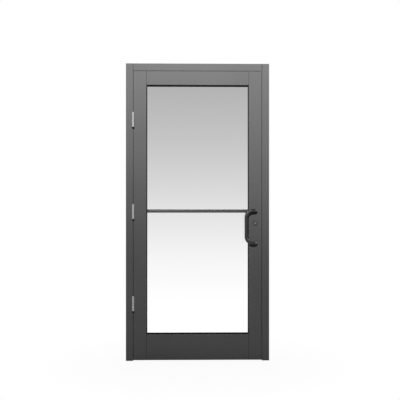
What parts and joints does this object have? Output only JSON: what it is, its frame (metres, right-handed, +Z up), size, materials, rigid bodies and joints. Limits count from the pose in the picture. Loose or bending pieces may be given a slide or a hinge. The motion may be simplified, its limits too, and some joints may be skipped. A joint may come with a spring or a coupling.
{
  "type": "glass door",
  "caption": "Hinged aluminium entrance door with a full glass panel in its own frame, with butt hinges, an offset pull handle, a push bar and a deadlock.",
  "frame": {"origin": "floor level, middle of the frame's width and depth, on the threshold's underside", "axes": "+X along the wall from hinge jamb to strike jamb, +Y through the wall from the pull side to the push side, +Z up"},
  "size_m": [1.016, 0.1822, 2.106],
  "materials": {
    "coated_aluminium": "satin dark grey powder coat",
    "mill_aluminium": "mill finish",
    "glass": "clear tempered glass",
    "black_rubber": "matt black rubber",
    "grey_pile": "woven pile",
    "satin_steel": "satin steel",
    "plated_steel": "zinc plated",
    "black_handle": "black satin coated bar",
    "lock_cylinder": "dark satin lock trim"
  },
  "bodies": {
    "frame": {"strike_jamb": "coated_aluminium", "hinge_jamb": "coated_aluminium", "frame_header": "coated_aluminium", "threshold": "coated_aluminium", "threshold_screws": "satin_steel", "header_clips": "mill_aluminium", "header_clip_screws": "plated_steel", "strike_jamb_stop": "coated_aluminium", "hinge_jamb_stop": "coated_aluminium", "header_stop": "coated_aluminium", "strike_jamb_seal": "black_rubber", "hinge_jamb_seal": "black_rubber", "header_seal": "black_rubber", "strike_plate": "satin_steel", "strike_screws": "satin_steel", "frame_hinge_screws": "satin_steel", "jamb_hinge_plates": "plated_steel", "upper_hinge_frame_leaf": "satin_steel", "upper_hinge_pin": "satin_steel", "middle_hinge_frame_leaf": "satin_steel", "middle_hinge_pin": "satin_steel", "lower_hinge_frame_leaf": "satin_steel", "lower_hinge_pin": "satin_steel"},
    "leaf": {"hinge_stile": "coated_aluminium", "lock_stile": "coated_aluminium", "top_rail": "coated_aluminium", "bottom_rail": "coated_aluminium", "corner_blocks": "mill_aluminium", "top_tie_rod": "plated_steel", "bottom_tie_rod": "plated_steel", "tie_rod_nuts": "plated_steel", "glass_pane": "glass", "setting_blocks": "black_rubber", "front_gaskets": "black_rubber", "rear_gaskets": "black_rubber", "lock_side_bead": "coated_aluminium", "hinge_side_bead": "coated_aluminium", "top_bead": "coated_aluminium", "bottom_bead": "coated_aluminium", "edge_pile": "grey_pile", "sweep_carrier": "coated_aluminium", "sweep_brush": "grey_pile", "leaf_screws": "satin_steel", "stile_hinge_plates": "plated_steel", "lock_case": "plated_steel", "lock_faceplate": "satin_steel", "lock_screws": "satin_steel", "bolt_pin": "plated_steel", "key_cylinder_body": "lock_cylinder", "turn_cylinder_body": "lock_cylinder", "cylinder_collars": "lock_cylinder", "pull_handle": "black_handle", "push_bar": "black_handle", "handle_studs": "plated_steel", "upper_hinge_door_leaf": "satin_steel", "middle_hinge_door_leaf": "satin_steel", "lower_hinge_door_leaf": "satin_steel"},
    "swing_bolt": {"swing_bolt": "plated_steel"},
    "key_plug": {"key_plug": "lock_cylinder"},
    "thumbturn": {"thumbturn": "lock_cylinder"}
  },
  "joints": [
    {"name": "door_swing", "type": "hinge", "parent": "frame", "child": "leaf", "pos_m": [-0.4556, -0.06465, 1.056], "axis": [0, 0, -1], "range_deg": [0, 170]},
    {"name": "bolt_throw", "type": "hinge", "parent": "leaf", "child": "swing_bolt", "pos_m": [0.437, -0.03492, 1], "axis": [0, -1, 0], "range_deg": [0, 90]},
    {"name": "key_turn", "type": "hinge", "parent": "leaf", "child": "key_plug", "pos_m": [0.4085, -0.03492, 0.974], "axis": [0, 1, 0], "range_deg": [0, 90]},
    {"name": "thumbturn_turn", "type": "hinge", "parent": "leaf", "child": "thumbturn", "pos_m": [0.4085, -0.03492, 0.974], "axis": [0, 1, 0], "range_deg": [0, 90]}
  ],
  "couplings": [
    {"joint": "key_turn", "follows": "bolt_throw", "ratio": 1},
    {"joint": "thumbturn_turn", "follows": "bolt_throw", "ratio": 1}
  ]
}
